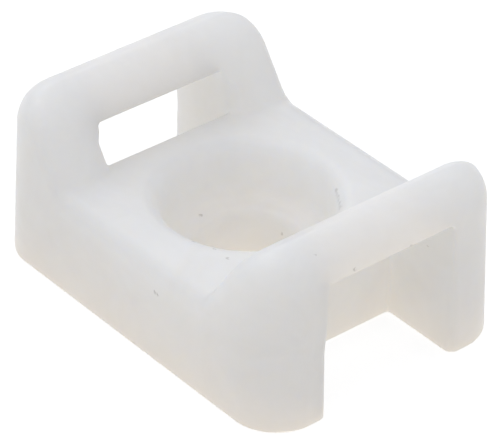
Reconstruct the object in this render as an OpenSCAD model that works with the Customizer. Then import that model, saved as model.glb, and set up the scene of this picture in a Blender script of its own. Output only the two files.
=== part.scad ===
// Screw-down cable tie mount, moulded in one piece.
// A flat-bottomed deck carries a recessed screw hole. Each end rises into an arch with two
// legs and a bar, and the deck stops short of the legs' outer faces, so that a tie can pass
// down through the arch, under its bar and out below. Length runs along X and +Z points away
// from the surface that the mount is screwed to. The origin is the middle of the mounting face.

/* [Overall] */
// Length over both ends, at the mounting face
length = 22; // [20:0.5:30]
// Width over the sides, at the mounting face
width = 15.5; // [14.5:0.5:22]
// Height of the arches
height = 9.7; // [9:0.1:12]
// Taper of the moulded sides, in degrees
draft = 1.5; // [0.5:0.25:2.5]

/* [Deck] */
// Height of the deck between the arches
deck_h = 5.6; // [5:0.1:6.2]
// Rounding of the deck's long edges and of the side edges of the arches' slopes
edge_r = 1; // [0.6:0.1:1.2]
// Hollow rounding where an arch rises from the deck
foot_r = 0.7; // [0.4:0.1:1.2]

/* [Arches] */
// Length of a leg where it stands on the deck
leg_l = 5.5; // [5:0.1:6]
// Length of the arch's top, from its inner edge to its end face
roof_l = 2.5; // [2.2:0.1:2.9]
// Rounding of the upright outer corners
corner_r = 2.6; // [2.2:0.1:3]
// Rounding of the outer top edges
top_r = 1.9; // [1.2:0.1:2]
// Rounding of the top edge that faces the screw
ridge_r = 0.7; // [0.3:0.1:1]

/* [Tie slot] */
// Width of the slot under the bar
slot_w = 8; // [6:0.25:8.5]
// Room for the tie between the deck and the bar
slot_h = 2.1; // [1.7:0.1:2.4]
// Distance from the end face to the end of the deck
slot_l = 4.65; // [4.3:0.05:5]

/* [Screw hole] */
// Diameter of the screw hole
hole_d = 5.3; // [3.5:0.1:6]
// Diameter of the recess for the screw head, at its floor
head_d = 8; // [7.2:0.1:8.4]
// Thickness left under the screw head
floor_h = 2.75; // [2:0.05:3.2]
// Taper of the recess wall, in degrees
head_taper = 12; // [4:1:14]
// Rounding of the recess rim
rim_r = 1; // [0.4:0.1:1.2]

/* [Hidden] */
nylon = "#e6e5e1";
round_fn = 48;
run_out = 1;
// Rounding cuts pass this far over the faces that they join, and so meet them in a clean edge.
overlap = 0.004;
lean = tan(draft);
bar_z = deck_h + slot_h;
leg_in = length / 2 - leg_l;
deck_in = length / 2 - slot_l;
ridge_x = length / 2 - height * lean - roof_l;
deck_w = width - 2 * deck_h * lean;
// Angle of an arch's slope above the deck, and how far its side edge leans to the middle.
pitch = atan2(height - deck_h, ridge_x - leg_in);
edge_lean = atan(sin(pitch) * lean);
head_top_r = head_d / 2 + (deck_h - rim_r - floor_h) * tan(head_taper);

// What a rounding takes off: the part of a corner that lies outside a circle. The circle is a
// hair larger than the rounding, so that it crosses both faces instead of just touching them.
module corner_less_circle(r) {
    difference() {
        children();
        circle(r = r + overlap, $fn = round_fn);
    }
}

// Tapered upright section as [radius, z], with its outer top edge rounded.
module post_section() {
    side_x = corner_r - (height - top_r) * lean;
    difference() {
        polygon([[0, 0], [corner_r, 0], [corner_r - height * lean, height], [0, height]]);
        translate([side_x - top_r / cos(draft), height - top_r])
            corner_less_circle(top_r)
                square(top_r + run_out);
    }
}

// Extrudes a section drawn as [y, z] along X, centred on the origin.
module along_x(l) {
    rotate([90, 0, 90])
        linear_extrude(l, center = true)
            children();
}

// Extrudes a section drawn as [x, z] along Y, centred on the origin.
module along_y(l) {
    rotate([90, 0, 0])
        linear_extrude(l, center = true)
            children();
}

module both_ends() {
    children();
    mirror([1, 0, 0])
        children();
}

module both_sides() {
    children();
    mirror([0, 1, 0])
        children();
}

// The whole outside, as a block with rounded upright corners and outer top edges.
module outside() {
    straight_l = length - 2 * corner_r;
    straight_w = width - 2 * corner_r;
    translate([-straight_l / 2, -straight_w / 2, 0])
        cube([straight_l, straight_w, height]);
    both_sides()
        along_x(straight_l)
            translate([straight_w / 2, 0])
                post_section();
    both_ends()
        along_y(straight_w)
            translate([straight_l / 2, 0])
                post_section();
    both_ends()
        both_sides()
            translate([straight_l / 2, straight_w / 2, 0])
                rotate_extrude(angle = 90, $fn = round_fn)
                    post_section();
}

// Everything below the deck's top, with the long edges of that top rounded. It is wider than the
// mount, and so is slope_body: the outside trims both.
module deck_body() {
    difference() {
        translate([-length, -width, -run_out])
            cube([2 * length, 2 * width, deck_h + run_out]);
        both_sides()
            along_x(3 * length)
                translate([deck_w / 2 + edge_r * (lean - 1 / cos(draft)), deck_h - edge_r])
                    corner_less_circle(edge_r)
                        square(edge_r + run_out);
    }
}

// Side view as [x, z] of everything behind the +X arch's slope, with the ridge rounded.
module slope_outline() {
    run_x = (height + run_out - deck_h) / tan(pitch);
    difference() {
        polygon([
            [leg_in + run_x, height + run_out],
            [leg_in - run_x, 2 * deck_h - height - run_out],
            [length, 2 * deck_h - height - run_out],
            [length, height + run_out],
        ]);
        translate([ridge_x + ridge_r * tan(pitch / 2), height - ridge_r])
            corner_less_circle(ridge_r)
                polygon([[0, 0], [0, 3 * ridge_r], 3 * ridge_r * [-sin(pitch), cos(pitch)]]);
    }
}

// Everything behind the +X arch's slope, with the slope's side edges rounded.
module slope_body() {
    skew = asin(sin(draft) * cos(pitch));
    difference() {
        along_y(2 * width)
            slope_outline();
        both_sides()
            translate([leg_in, deck_w / 2, deck_h])
                rotate([0, 90 - pitch, 0])
                    rotate([edge_lean, 0, 0])
                        linear_extrude(2 * length, center = true)
                            translate(edge_r * [1, (sin(skew) - 1) / cos(skew)])
                                corner_less_circle(edge_r)
                                    mirror([1, 0])
                                        square(edge_r + run_out);
    }
}

// Fills the inside corner between the deck and the +X arch's slope with a hollow rounding.
module foot() {
    reach = foot_r * tan(pitch / 2);
    along_y(deck_w - 2.5 * edge_r)
        translate([leg_in - reach, deck_h + foot_r])
            difference() {
                scale(1.5)
                    polygon([[0, 0], [0, -foot_r], [reach, -foot_r], foot_r * [sin(pitch), -cos(pitch)]]);
                circle(r = foot_r + overlap, $fn = round_fn);
            }
}

// The outside with the trough between the arches open.
module deck_and_arches() {
    intersection() {
        outside();
        union() {
            deck_body();
            both_ends() {
                slope_body();
                foot();
            }
        }
    }
}

// Way of the tie through one arch: under the bar, over the deck's end and out below. Its sides
// widen downwards with the taper.
module tie_slot() {
    top = slot_w / 2;
    low = top + (bar_z + run_out) * lean;
    intersection() {
        along_x(2 * length)
            polygon([[-low, -run_out], [low, -run_out], [top, bar_z], [-top, bar_z]]);
        along_y(2 * width)
            polygon([
                [deck_in, -2 * run_out],
                [length, -2 * run_out],
                [length, height],
                [leg_in - foot_r, height],
                [leg_in - foot_r, deck_h],
                [deck_in, deck_h],
            ]);
    }
}

// Screw hole, head recess and rounded rim.
module screw_hole() {
    translate([0, 0, -run_out])
        cylinder(h = deck_h, d = hole_d, $fn = round_fn);
    rotate_extrude($fn = round_fn)
        difference() {
            polygon([
                [0, floor_h],
                [head_d / 2, floor_h],
                [head_top_r, deck_h - rim_r],
                [head_top_r + rim_r, deck_h],
                [head_top_r + rim_r, deck_h + run_out],
                [0, deck_h + run_out],
            ]);
            translate([head_top_r + rim_r, deck_h - rim_r])
                circle(r = rim_r, $fn = round_fn);
        }
}

module mount() {
    color(nylon)
        difference() {
            deck_and_arches();
            both_ends()
                tie_slot();
            screw_hole();
        }
}

mount();
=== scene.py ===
# %% [markdown]
# # Screw-down cable tie mount
# The real object is one small moulding of natural nylon, about 22 mm long. A flat deck carries a
# recessed screw hole, and an arch stands at each end of it. A cable tie goes under the bar of one
# arch, across the deck and under the bar of the other, and comes out below the deck's ends.
# This cell loads the exact solid, which gives every place and size, and keeps its box.

# %% Load the frame
import math

import bpy
import numpy as np
from mathutils import Matrix, Vector


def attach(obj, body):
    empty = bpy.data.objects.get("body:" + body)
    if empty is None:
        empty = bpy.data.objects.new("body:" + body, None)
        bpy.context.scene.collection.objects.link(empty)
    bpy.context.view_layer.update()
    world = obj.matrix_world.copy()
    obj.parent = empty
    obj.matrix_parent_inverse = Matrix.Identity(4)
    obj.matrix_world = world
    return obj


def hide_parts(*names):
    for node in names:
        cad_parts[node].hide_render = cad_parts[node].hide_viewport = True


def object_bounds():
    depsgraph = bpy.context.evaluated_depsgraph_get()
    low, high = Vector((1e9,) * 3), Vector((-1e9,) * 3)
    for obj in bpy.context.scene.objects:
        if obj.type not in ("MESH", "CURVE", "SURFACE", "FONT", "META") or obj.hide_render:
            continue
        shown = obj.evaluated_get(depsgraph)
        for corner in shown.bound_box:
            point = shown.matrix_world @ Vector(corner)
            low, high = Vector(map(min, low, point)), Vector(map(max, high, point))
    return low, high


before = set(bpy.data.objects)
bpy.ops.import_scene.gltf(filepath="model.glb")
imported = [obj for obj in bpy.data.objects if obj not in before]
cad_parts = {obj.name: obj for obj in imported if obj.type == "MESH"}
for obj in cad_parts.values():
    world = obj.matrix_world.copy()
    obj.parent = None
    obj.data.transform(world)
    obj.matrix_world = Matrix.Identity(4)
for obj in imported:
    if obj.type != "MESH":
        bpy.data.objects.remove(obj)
solid_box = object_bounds()
MM = 0.001
print("solid box, mm:", [[round(c / MM, 2) for c in corner] for corner in solid_box])


# %% [markdown]
# Every tree below is built with one helper. It adds a node, applies its settings, and fills its
# inputs with plain values or with links to the nodes before it.


# %% One helper for every node
def add(tree, kind, inputs=None, **settings):
    """Adds a node. inputs maps an input's name or number to a socket or to a plain value."""
    node = tree.nodes.new(kind)
    for name, value in settings.items():
        setattr(node, name, value)
    for name, value in (inputs or {}).items():
        if isinstance(value, bpy.types.NodeSocket):
            tree.links.new(value, node.inputs[name])
        else:
            node.inputs[name].default_value = value
    return node


# %% [markdown]
# ## The moulding as a rule
# A moulded part has no sharp edge anywhere: the steel is rounded, and the melt shrinks. Bevels on
# a mesh with tapers, slopes and a round recess fail where several edges meet. A distance field
# doesn't: each face is a formula that says how far a point is outside that face, and one rule
# joins two of them with a true round. Geometry Nodes evaluates the rule on a fine grid of points
# and wraps a skin round every point that is inside.
# First comes the rule itself, as a small node group: what is inside both of two shapes, with the
# edge between them rounded.


# %% Rounded overlap of two shapes
rounded = bpy.data.node_groups.new("rounded_overlap", "GeometryNodeTree")
for socket_name in ("A", "B", "Radius"):
    rounded.interface.new_socket(socket_name, in_out="INPUT", socket_type="NodeSocketFloat")
rounded.interface.new_socket("Distance", in_out="OUTPUT", socket_type="NodeSocketFloat")
given = add(rounded, "NodeGroupInput").outputs
first, second, edge = given["A"], given["B"], given["Radius"]
pair = add(rounded, "ShaderNodeCombineXYZ", {0: first, 1: second}).outputs[0]
edges = add(rounded, "ShaderNodeCombineXYZ", {0: edge, 1: edge}).outputs[0]
past = add(rounded, "ShaderNodeVectorMath", {0: pair, 1: edges}, operation="ADD").outputs[0]
past = add(rounded, "ShaderNodeVectorMath", {0: past}, operation="MAXIMUM").outputs[0]
arc = add(rounded, "ShaderNodeVectorMath", {0: past}, operation="LENGTH").outputs["Value"]
deep = add(rounded, "ShaderNodeMath", {0: first, 1: second}, operation="MAXIMUM").outputs[0]
centre = add(rounded, "ShaderNodeMath", {0: 0.0, 1: edge}, operation="SUBTRACT").outputs[0]
deep = add(rounded, "ShaderNodeMath", {0: deep, 1: centre}, operation="MINIMUM").outputs[0]
total = add(rounded, "ShaderNodeMath", {0: arc, 1: deep}, operation="ADD").outputs[0]
add(rounded, "NodeGroupOutput", {"Distance": total})
print("rounded_overlap:", len(rounded.nodes), "nodes")

# %% [markdown]
# The sizes are those of the solid, in millimetres, and they become the named inputs of the tree.
# The edges are finer than the solid's: some of them change their rounding along the way.

# %% Sizes and edges of the moulding
SIZES = {
    "Length": 22.0,
    "Width": 15.5,
    "Height": 9.7,
    "Deck height": 5.6,
    "Leg length": 5.5,
    "Roof length": 2.5,
    "Slot width": 8.0,
    "Slot height": 2.1,
    "Deck end": 4.65,
    "Hole diameter": 5.3,
    "Recess diameter": 8.0,
    "Recess floor": 2.75,
    "Upright corner": 2.6,
    "Top edge": 1.9,
    "Trough edge": 0.95,
    "Bar edge": 0.2,
    "Slot corner": 0.2,
    "Slot edge": 0.9,
    "Leg end edge": 0.5,
    "Deck end edge": 0.15,
    "Foot": 0.15,
    "Rim": 0.7,
    "Recess corner": 0.8,
    "Hole edge": 0.5,
    "Base edge": 0.2,
    "Grid step": 0.13,
}
DRAFT = math.radians(1.5)
RECESS_TAPER = math.radians(12)
moulding = bpy.data.node_groups.new("moulding_rule", "GeometryNodeTree")
moulding.interface.new_socket("Geometry", in_out="OUTPUT", socket_type="NodeSocketGeometry")
identifiers = {}
for name in SIZES:
    socket = moulding.interface.new_socket(name, in_out="INPUT", socket_type="NodeSocketFloat")
    identifiers[name] = socket.identifier
size = add(moulding, "NodeGroupInput").outputs
print("moulding_rule:", len(SIZES), "named sizes")

# %% [markdown]
# Both ends and both sides are alike, so the rule is written for one quarter, with x and y taken
# without their signs. The recess is round, so its faces use the distance from the upright axis in
# place of x, and no y.

# %% Places
place = add(moulding, "GeometryNodeInputPosition").outputs[0]
to_mm = {0: place, "Scale": 1 / MM}
place = add(moulding, "ShaderNodeVectorMath", to_mm, operation="SCALE").outputs[0]
quarter = add(moulding, "ShaderNodeVectorMath", {0: place}, operation="ABSOLUTE").outputs[0]
z = add(moulding, "ShaderNodeSeparateXYZ", {0: place}).outputs["Z"]
x, y = add(moulding, "ShaderNodeSeparateXYZ", {0: quarter}).outputs[:2]
flat = add(moulding, "ShaderNodeCombineXYZ", {0: x, 1: y}).outputs[0]
off_axis = add(moulding, "ShaderNodeVectorMath", {0: flat}, operation="LENGTH").outputs["Value"]
in_quarter = add(moulding, "ShaderNodeCombineXYZ", {0: x, 1: y, 2: z}).outputs[0]
round_axis = add(moulding, "ShaderNodeCombineXYZ", {0: off_axis, 2: z}).outputs[0]
print("the rule is written for points like (|x|, |y|, z), in mm")

# %% [markdown]
# A flat face is one dot product: the way it looks, with the step from a point on it to the place
# in question. Faces are then joined into shapes, and shapes into the moulding.


# %% Faces and joins
def face(normal, through, point=in_quarter):
    """Distance outside a flat face that looks along normal and passes through a point."""
    on_it = add(moulding, "ShaderNodeCombineXYZ", through).outputs[0]
    step = {0: point, 1: on_it}
    step = add(moulding, "ShaderNodeVectorMath", step, operation="SUBTRACT").outputs[0]
    along = add(moulding, "ShaderNodeVectorMath", {0: step, 1: normal}, operation="DOT_PRODUCT")
    return along.outputs["Value"]


def both(a, b, radius):
    """What is inside a and b, with the edge between them rounded."""
    inputs = {"A": a, "B": b, "Radius": radius}
    return add(moulding, "GeometryNodeGroup", inputs, node_tree=rounded).outputs["Distance"]


def turned_out(a):
    """A shape turned inside out: its distance with the other sign."""
    return add(moulding, "ShaderNodeMath", {0: 0.0, 1: a}, operation="SUBTRACT").outputs[0]


def without(a, b, radius):
    """What is left of a when b is cut out of it, with the edge of the cut rounded."""
    return both(a, turned_out(b), radius)


def either(a, b, radius):
    """a and b together, with the inside corner between them rounded."""
    return turned_out(both(turned_out(a), turned_out(b), radius))


UP, DOWN, OUTWARD, SIDEWAYS = (0, 0, 1), (0, 0, -1), (1, 0, 0), (0, 1, 0)
half = {}
for name in ("Length", "Width", "Slot width", "Hole diameter", "Recess diameter"):
    halved = {0: size[name], 1: 0.5}
    half[name] = add(moulding, "ShaderNodeMath", halved, operation="MULTIPLY").outputs[0]

# %% [markdown]
# The outside is a block whose faces lean in by the draft, so that the moulding slides out of the
# steel. Its uprights have a wide round, and its top edges a smaller one.

# %% Outside of the moulding
end = face((math.cos(DRAFT), 0, math.sin(DRAFT)), {"X": half["Length"]})
side = face((0, math.cos(DRAFT), math.sin(DRAFT)), {"Y": half["Width"]})
top = face(UP, {"Z": size["Height"]})
body = both(both(end, side, size["Upright corner"]), top, size["Top edge"])
print("draft:", round(math.degrees(DRAFT), 2), "degrees on each outer face")

# %% [markdown]
# Each arch rises from the deck in one slope, so that a bundle of cables lies between them like in
# a saddle. The slope goes from the foot of the arch to the inner edge of its flat roof. The face
# looks square to that line, which is its rise and run swapped.

# %% Slope of the arches
fall = {0: size["Deck height"], 1: size["Height"]}
fall = add(moulding, "ShaderNodeMath", fall, operation="SUBTRACT").outputs[0]
run = {0: size["Height"], 1: -math.tan(DRAFT), 2: size["Leg length"]}
run = add(moulding, "ShaderNodeMath", run, operation="MULTIPLY_ADD").outputs[0]
run = {0: run, 1: size["Roof length"]}
run = add(moulding, "ShaderNodeMath", run, operation="SUBTRACT").outputs[0]
looks = add(moulding, "ShaderNodeCombineXYZ", {"X": fall, "Z": run}).outputs[0]
looks = add(moulding, "ShaderNodeVectorMath", {0: looks}, operation="NORMALIZE").outputs[0]
foot_x = {0: half["Length"], 1: size["Leg length"]}
foot_x = add(moulding, "ShaderNodeMath", foot_x, operation="SUBTRACT").outputs[0]
slope = face(looks, {"X": foot_x, "Z": size["Deck height"]})
print("slope: rises", round(SIZES["Height"] - SIZES["Deck height"], 2), "mm from the deck")

# %% [markdown]
# The slot's edges aren't all rounded alike. Where the tie bends under the bar the edge is nearly
# sharp, and down the legs it opens to a wide round. A radius may be a field too, so a Map Range
# node lets it grow from the bar down.

# %% Tie slots
SLOT_OPENS = (0.1, 1.0)
bar_z = {0: size["Deck height"], 1: size["Slot height"]}
bar_z = add(moulding, "ShaderNodeMath", bar_z, operation="ADD").outputs[0]
wall = face(SIDEWAYS, {"Y": half["Slot width"]})
under_bar = face(UP, {"Z": bar_z})
opening = {
    "Value": turned_out(under_bar),
    "From Min": SLOT_OPENS[0],
    "From Max": SLOT_OPENS[1],
    "To Min": size["Bar edge"],
    "To Max": size["Slot edge"],
}
opening = add(moulding, "ShaderNodeMapRange", opening, interpolation_type="SMOOTHSTEP")
slot = both(wall, under_bar, size["Slot corner"])
arch = without(slope, slot, opening.outputs[0])
print("the slot's edge opens from", *SLOT_OPENS, "mm below the bar")

# %% [markdown]
# The deck fills the space between the legs up to its own height. It stops short of the ends, and
# there the tie passes down beside it. The trough's upper edge is wide along the sides and narrows
# where it climbs the arches. The outer edges of the legs open again towards the base.

# %% Deck and trough
LEG_EDGE_OPENS = (5.7, 3.7)
TROUGH_NARROWS = (8.4, 9.6)
deck = face(UP, {"Z": size["Deck height"]})
deck_end_x = {0: half["Length"], 1: size["Deck end"]}
deck_end_x = add(moulding, "ShaderNodeMath", deck_end_x, operation="SUBTRACT").outputs[0]
deck_end = face(OUTWARD, {"X": deck_end_x})
inside = either(arch, both(deck, deck_end, size["Deck end edge"]), size["Foot"])
outer = {
    "Value": z,
    "From Min": LEG_EDGE_OPENS[0],
    "From Max": LEG_EDGE_OPENS[1],
    "To Min": size["Bar edge"],
    "To Max": size["Leg end edge"],
}
outer = add(moulding, "ShaderNodeMapRange", outer, interpolation_type="SMOOTHSTEP").outputs[0]
climbing = {
    "Value": x,
    "From Min": TROUGH_NARROWS[0],
    "From Max": TROUGH_NARROWS[1],
    "To Min": size["Trough edge"],
    "To Max": outer,
}
climbing = add(moulding, "ShaderNodeMapRange", climbing, interpolation_type="SMOOTHSTEP")
body = both(body, inside, climbing.outputs[0])
print("deck ends", SIZES["Deck end"], "mm inside the outer faces")

# %% [markdown]
# The screw's head sinks into a tapered recess with a rounded rim and a soft corner at its floor.
# The hole goes on from the floor to the base.

# %% Screw hole and its recess
tapered = (math.cos(RECESS_TAPER), 0, -math.sin(RECESS_TAPER))
recess_foot = {"X": half["Recess diameter"], "Z": size["Recess floor"]}
recess_wall = face(tapered, recess_foot, round_axis)
recess_floor = face(DOWN, {"Z": size["Recess floor"]})
recess = both(recess_wall, recess_floor, size["Recess corner"])
body = without(body, recess, size["Rim"])
bore = face(OUTWARD, {"X": half["Hole diameter"]}, round_axis)
body = without(body, bore, size["Hole edge"])
body = both(body, face(DOWN, {}), size["Base edge"])
print("screw hole", SIZES["Hole diameter"], "mm, recess", SIZES["Recess diameter"], "mm")

# %% [markdown]
# A volume holds one number for each grid point: 1 well inside the moulding, 0 well outside, and
# 0.5 on its skin. Volume to Mesh wraps that skin, and smooth shading hides the grid.

# %% Skin round the rule
ON_SKIN = 0.5
MARGIN = 0.4
density = {0: ON_SKIN, 1: body}
density = add(moulding, "ShaderNodeMath", density, operation="SUBTRACT").outputs[0]
density = add(moulding, "ShaderNodeClamp", {0: density}).outputs[0]
low = solid_box[0] - Vector([MARGIN * MM] * 3)
high = solid_box[1] + Vector([MARGIN * MM] * 3)
room = {"Density": density, "Min": low, "Max": high, "Background": 0.0}
for axis, letter in enumerate("XYZ"):
    steps = {0: (high[axis] - low[axis]) / MM, 1: size["Grid step"]}
    steps = add(moulding, "ShaderNodeMath", steps, operation="DIVIDE")
    room["Resolution " + letter] = steps.outputs[0]
cube = add(moulding, "GeometryNodeVolumeCube", room).outputs[0]
skin = {"Volume": cube, "Threshold": ON_SKIN}
skin = add(moulding, "GeometryNodeVolumeToMesh", skin).outputs[0]
smooth = add(moulding, "GeometryNodeSetShadeSmooth", {0: skin}).outputs[0]
real = add(moulding, "GeometryNodeRealizeInstances", {0: smooth}).outputs[0]
add(moulding, "NodeGroupOutput", {"Geometry": real})
print("moulding_rule:", len(moulding.nodes), "nodes")


# %% [markdown]
# Colours are written as sRGB hex values, as a colour picker shows them. Shaders work in linear
# light, so one function turns each value to linear.


# %% Colours
def linear(hex_code):
    """An sRGB hex value as linear red, green, blue and alpha."""

    def channel(c):
        return c / 12.92 if c <= 0.04045 else ((c + 0.055) / 1.055) ** 2.4

    digits = hex_code.lstrip("#")
    return [channel(int(digits[i : i + 2], 16) / 255) for i in (0, 2, 4)] + [1.0]


print("mid grey #808080 in linear light:", round(linear("#808080")[0], 3))

# %% [markdown]
# ## Natural nylon
# Uncoloured nylon, straight from the mould. It is milky: light goes in as deep as this small part
# is thick, and comes out softened, a little warmer where it had the longer way. The steel was
# blasted, so the skin is satin. Subsurface scattering gives the milkiness, with red going deepest.

# %% Nylon
LIGHT_DEPTH = 16.0
nylon = bpy.data.materials.new("natural_nylon_moulded")
nylon.use_nodes = True
tree = nylon.node_tree
shader = tree.nodes["Principled BSDF"]
shader.inputs["IOR"].default_value = 1.53
shader.inputs["Subsurface Scale"].default_value = LIGHT_DEPTH * MM
shader.inputs["Subsurface Radius"].default_value = (1.0, 0.85, 0.65)
spot = add(tree, "ShaderNodeTexCoord").outputs["Object"]
to_mm = {0: spot, "Scale": 1 / MM}
spot_mm = add(tree, "ShaderNodeVectorMath", to_mm, operation="SCALE").outputs[0]
print("nylon: red light goes about", LIGHT_DEPTH, "mm deep")

# %% [markdown]
# The melt cools unevenly, which leaves faint clouds of clearer and milkier nylon some millimetres
# wide. A noise texture mixes two near whites that way.

# %% Clouds in the nylon
CLOUD_WIDTH = 3.5
clouds = {"Vector": spot_mm, "Scale": 1 / CLOUD_WIDTH}
clouds |= {"Detail": 3.0, "Roughness": 0.55, "Distortion": 0.6}
clouds = add(tree, "ShaderNodeTexNoise", clouds).outputs["Fac"]
clouds = {"Value": clouds, "From Min": 0.3, "From Max": 0.7}
clouds = add(tree, "ShaderNodeMapRange", clouds).outputs[0]
blend = {"Factor": clouds, 6: linear("#ECEBE9"), 7: linear("#F1F1F0")}
colour = add(tree, "ShaderNodeMix", blend, data_type="RGBA").outputs[2]
print("clouds about", CLOUD_WIDTH, "mm wide")

# %% [markdown]
# Handling has left a few marks: dark grit pressed into the skin, and a fibre on the rim of the
# recess, which is the last seven places in the list. Each is a small ball, in which the colour
# darkens. A noise pulls at the balls, so that none looks round.

# %% Grit and fibre
# Each row: x, y and z in mm, the ball's reach in mm, and how dark it gets, from 0 to 1.
GRIT = [
    (2.15, -7.65, 4.16, 0.11, 0.46),
    (2.36, -7.65, 4.08, 0.10, 0.53),
    (0.65, -7.75, 0.10, 0.16, 0.37),
    (-3.12, -0.44, 2.75, 0.12, 0.34),
    (1.52, -4.69, 5.49, 0.10, 0.37),
    (2.67, -4.37, 5.56, 0.10, 0.34),
    (3.69, -4.39, 5.60, 0.10, 0.31),
    (10.07, -4.31, 9.30, 0.08, 0.28),
    (10.79, -2.45, 8.01, 0.10, 0.37),
    (10.79, 1.11, 7.85, 0.08, 0.31),
    (8.91, 4.06, 5.58, 0.10, 0.28),
    (-0.76, 3.96, 2.90, 0.10, 0.25),
    (-0.33, 2.63, 1.77, 0.10, 0.31),
    (-8.26, 4.17, 9.60, 0.12, 0.22),
    (2.04, 4.07, 5.15, 0.15, 0.26),
    (2.28, 3.90, 5.12, 0.15, 0.21),
    (2.52, 3.78, 5.10, 0.15, 0.23),
    (2.75, 3.58, 5.14, 0.15, 0.19),
    (3.05, 3.40, 5.20, 0.15, 0.26),
    (3.30, 3.20, 5.24, 0.15, 0.23),
    (3.50, 3.06, 5.27, 0.15, 0.21),
]
PULL = 0.35
PULLS_PER_MM = 6.0
pull = {"Vector": spot_mm, "Scale": PULLS_PER_MM, "Detail": 2.0}
pull = add(tree, "ShaderNodeTexNoise", pull).outputs["Color"]
pull = {0: pull, 1: (0.5, 0.5, 0.5)}
pull = add(tree, "ShaderNodeVectorMath", pull, operation="SUBTRACT").outputs[0]
pull = {0: pull, 1: (PULL, PULL, PULL), 2: spot_mm}
pulled = add(tree, "ShaderNodeVectorMath", pull, operation="MULTIPLY_ADD").outputs[0]
grit = 0.0
for gx, gy, gz, reach, dark in GRIT:
    away = {0: pulled, 1: (gx, gy, gz)}
    away = add(tree, "ShaderNodeVectorMath", away, operation="DISTANCE").outputs["Value"]
    fade = {"Value": away, "From Min": 0.4 * reach, "From Max": 1.3 * reach}
    fade |= {"To Min": dark, "To Max": 0.0}
    fade = add(tree, "ShaderNodeMapRange", fade, interpolation_type="SMOOTHSTEP").outputs[0]
    grit = add(tree, "ShaderNodeMath", {0: grit, 1: fade}, operation="MAXIMUM").outputs[0]
blend = {"Factor": grit, 6: colour, 7: linear("#7C736C")}
colour = add(tree, "ShaderNodeMix", blend, data_type="RGBA").outputs[2]
tree.links.new(colour, shader.inputs["Base Color"])
milky = {"Value": grit, "From Min": 0.0, "From Max": 0.3, "To Min": 1.0, "To Max": 0.25}
milky = add(tree, "ShaderNodeMapRange", milky).outputs[0]
tree.links.new(milky, shader.inputs["Subsurface Weight"])
print("grit and fibre:", len(GRIT), "places")

# %% [markdown]
# The satin skin: grains of the blasted steel are about 0.03 mm wide, too fine to show, so they
# are drawn at 0.12 mm. Wider waves, where the nylon shrank, break up the highlights.

# %% Satin skin
GRAIN_WIDTH = 0.12
GRAIN_DEPTH = 0.01
WAVE_WIDTH = 1.6
WAVE_DEPTH = 0.06
grain = {"Vector": spot_mm, "Scale": 1 / GRAIN_WIDTH, "Detail": 2.0}
grain = add(tree, "ShaderNodeTexNoise", grain).outputs["Fac"]
waves = {"Vector": spot_mm, "Scale": 1 / WAVE_WIDTH, "Detail": 2.0}
waves = add(tree, "ShaderNodeTexNoise", waves).outputs["Fac"]
fine = {"Strength": 0.25, "Distance": GRAIN_DEPTH * MM, "Height": grain}
fine = add(tree, "ShaderNodeBump", fine).outputs[0]
wide = {"Strength": 1.0, "Distance": WAVE_DEPTH * MM, "Height": waves, "Normal": fine}
wide = add(tree, "ShaderNodeBump", wide).outputs[0]
tree.links.new(wide, shader.inputs["Normal"])
satin = {"Value": waves, "From Min": 0.3, "From Max": 0.7, "To Min": 0.30, "To Max": 0.44}
satin = add(tree, "ShaderNodeMapRange", satin).outputs[0]
tree.links.new(satin, shader.inputs["Roughness"])
print("natural_nylon_moulded:", len(tree.nodes), "nodes")

# %% [markdown]
# ## The piece
# The tree runs once on an empty carrier object. Its result is copied to a plain mesh, and the
# carrier goes. No point may pass the solid's own box, so the points are held to it.

# %% Make the moulding
carrier = bpy.data.objects.new("carrier", bpy.data.meshes.new("carrier"))
bpy.context.scene.collection.objects.link(carrier)
modifier = carrier.modifiers.new("moulding_rule", "NODES")
modifier.node_group = moulding
for name, value in SIZES.items():
    modifier[identifiers[name]] = value
depsgraph = bpy.context.evaluated_depsgraph_get()
skin_mesh = bpy.data.meshes.new_from_object(carrier.evaluated_get(depsgraph))
carrier.modifiers.remove(modifier)
bpy.data.objects.remove(carrier)
points = np.empty(len(skin_mesh.vertices) * 3, np.float32)
skin_mesh.vertices.foreach_get("co", points)
points = np.clip(points.reshape(-1, 3), np.array(solid_box[0]), np.array(solid_box[1]))
skin_mesh.vertices.foreach_set("co", points.ravel())
skin_mesh.update()
skin_mesh.calc_loop_triangles()
skin_size = len(skin_mesh.vertices), len(skin_mesh.loop_triangles)
print("moulding: %d points, %d triangles" % skin_size)

# %% [markdown]
# The mesh comes out of the tree with an empty material slot, which is cleared before it gets its
# nylon. Then it becomes the piece: it takes the place of the solid and rides on the only body
# there is.

# %% Hand over the piece
skin_mesh.materials.clear()
skin_mesh.materials.append(nylon)
mount = bpy.data.objects.new("moulded_mount", skin_mesh)
bpy.context.scene.collection.objects.link(mount)
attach(mount, "root")
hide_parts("mount")
print("moulded_mount: rides on root, finished in", mount.active_material.name)

# %% [markdown]
# ## The studio
# White card on a light table. What the camera sees of it, also in reflections and through clear
# things, is white with the object's shadow in it. Other rays find a card that lets most light
# through, so that the milky nylon is lit from below as well and its hole doesn't go dark.

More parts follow.
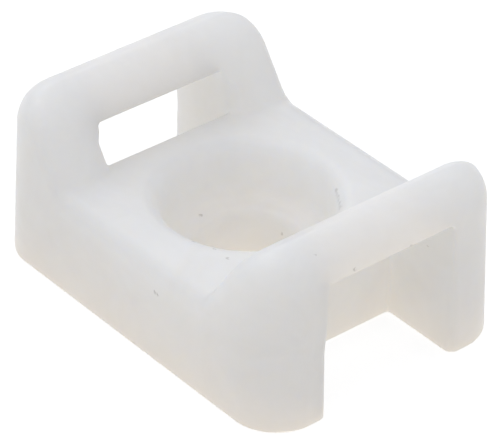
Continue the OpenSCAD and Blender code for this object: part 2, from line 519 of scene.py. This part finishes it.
# %% Floor
FLOOR_HALF = 0.6
FLOOR_DROP = 0.02
CLEAR = 0.8
GLOW = 0.77
floor_mesh = bpy.data.meshes.new("floor")
corners = [(-1, -1), (1, -1), (1, 1), (-1, 1)]
corners = [(FLOOR_HALF * u, FLOOR_HALF * v, 0) for u, v in corners]
floor_mesh.from_pydata(corners, [], [(0, 1, 2, 3)])
floor = bpy.data.objects.new("floor", floor_mesh)
bpy.context.scene.collection.objects.link(floor)
floor.location.z = -FLOOR_DROP * MM
card = bpy.data.materials.new("white_card")
card.use_nodes = True
tree = card.node_tree
tree.nodes.clear()
matt = add(tree, "ShaderNodeBsdfDiffuse", {"Color": linear("#F4F4F4")}).outputs[0]
clear = add(tree, "ShaderNodeBsdfTransparent", {"Color": linear("#FFFFFF")}).outputs[0]
lit = add(tree, "ShaderNodeMixShader", {0: CLEAR, 1: matt, 2: clear}).outputs[0]
dim = add(tree, "ShaderNodeBsdfDiffuse", {"Color": linear("#A8A8A8")}).outputs[0]
glow = {"Color": linear("#FFFFFF"), "Strength": GLOW}
glow = add(tree, "ShaderNodeEmission", glow).outputs[0]
seen = add(tree, "ShaderNodeAddShader", {0: dim, 1: glow}).outputs[0]
rays = add(tree, "ShaderNodeLightPath").outputs
sight = rays["Is Camera Ray"]
for kind in ("Is Glossy Ray", "Is Transmission Ray"):
    sight = {0: sight, 1: rays[kind]}
    sight = add(tree, "ShaderNodeMath", sight, operation="MAXIMUM").outputs[0]
surface = add(tree, "ShaderNodeMixShader", {0: sight, 1: lit, 2: seen}).outputs[0]
add(tree, "ShaderNodeOutputMaterial", {"Surface": surface})
floor.data.materials.append(card)
print("white_card:", len(tree.nodes), "nodes")

# %% [markdown]
# The room is pale and even. Light from above is a little cool, and light from below is dimmer and
# warmer, which a blend over the height of each direction gives.

# %% World
SKY_STRENGTH = 0.765
world = bpy.data.worlds.new("studio")
bpy.context.scene.world = world
world.use_nodes = True
tree = world.node_tree
sky = tree.nodes["Background"]
upward = add(tree, "ShaderNodeTexCoord").outputs["Generated"]
upward = add(tree, "ShaderNodeSeparateXYZ", {0: upward}).outputs["Z"]
upward = {"Value": upward, "From Min": -0.7, "From Max": 0.1}
upward = add(tree, "ShaderNodeMapRange", upward).outputs[0]
blend = {"Factor": upward, 6: linear("#C4B7A3"), 7: linear("#EDEFF3")}
blend = add(tree, "ShaderNodeMix", blend, data_type="RGBA").outputs[2]
tree.links.new(blend, sky.inputs["Color"])
sky.inputs["Strength"].default_value = SKY_STRENGTH
print("world strength:", SKY_STRENGTH)

# %% [markdown]
# Four soft lamps look at the object. A small one overhead gives the highlights on the arches, a
# faint one fills from the left, one behind shines through the thin bar, and one below shines up
# the hole.


# %% Lamps
def lamp(name, place, width, watts, colour="#FFFFFF"):
    """Adds a square lamp, at a place in metres, that looks at the object."""
    data = bpy.data.lights.new(name, "AREA")
    data.size = width
    data.energy = watts
    data.color = linear(colour)[:3]
    obj = bpy.data.objects.new(name, data)
    bpy.context.scene.collection.objects.link(obj)
    obj.location = place
    obj.rotation_euler = (-Vector(place)).to_track_quat("-Z", "Y").to_euler()


lamp("softbox_top", (-0.035, -0.08, 0.29), 0.09, 0.065)
lamp("softbox_left", (-0.16, -0.14, 0.22), 0.2, 0.03)
lamp("softbox_back", (-0.2, 0.06, 0.18), 0.2, 0.135)
lamp("softbox_below", (0.04, 0.0, -0.2), 0.1, 0.15, "#FFF9F1")
print("lamps:", len(bpy.data.lights))

# %% [markdown]
# A long lens from above one corner, turned a little about its own axis. The colours are shown by
# the plain Standard transform.

# %% Camera
ROLL = math.radians(1.294)
camera = bpy.data.objects.new("camera", bpy.data.cameras.new("camera"))
bpy.context.scene.collection.objects.link(camera)
bpy.context.scene.camera = camera
camera.data.lens = 251.5
camera.data.sensor_width = 36
camera.data.clip_start = 0.01
camera.data.clip_end = 10
place = Vector((109.60, -93.48, 103.83)) * MM
aim = Vector((0.405, -0.163, 4.0)) * MM
level = (aim - place).to_track_quat("-Z", "Y").to_matrix().to_4x4()
camera.matrix_world = Matrix.Translation(place) @ level @ Matrix.Rotation(ROLL, 4, "Z")
bpy.context.scene.view_settings.view_transform = "Standard"
print("camera", round((aim - place).length / MM), "mm from the object")
